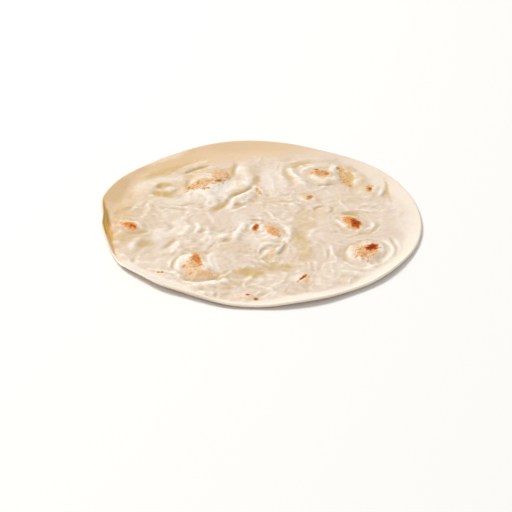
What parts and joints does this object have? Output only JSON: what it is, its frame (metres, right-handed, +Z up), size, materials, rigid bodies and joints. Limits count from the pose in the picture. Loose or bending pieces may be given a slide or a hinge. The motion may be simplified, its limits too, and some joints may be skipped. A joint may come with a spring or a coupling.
{
  "type": "flour tortilla",
  "caption": "Thin round flour tortilla lying flat, pale and soft, with browned blisters on its top and a smooth lip that turns up unevenly round the edge.",
  "frame": {"origin": "the middle of the flat underside, on the surface that the tortilla lies on", "axes": "+Z up, square to the flat underside; +X to the right and +Y away from the viewer of the picture, so that the highest part of the lip is towards -X"},
  "size_m": [0.2472, 0.2487, 0.0094],
  "materials": {
    "dough": "matte"
  },
  "bodies": {
    "root": {"tortilla": "dough"}
  },
  "joints": []
}
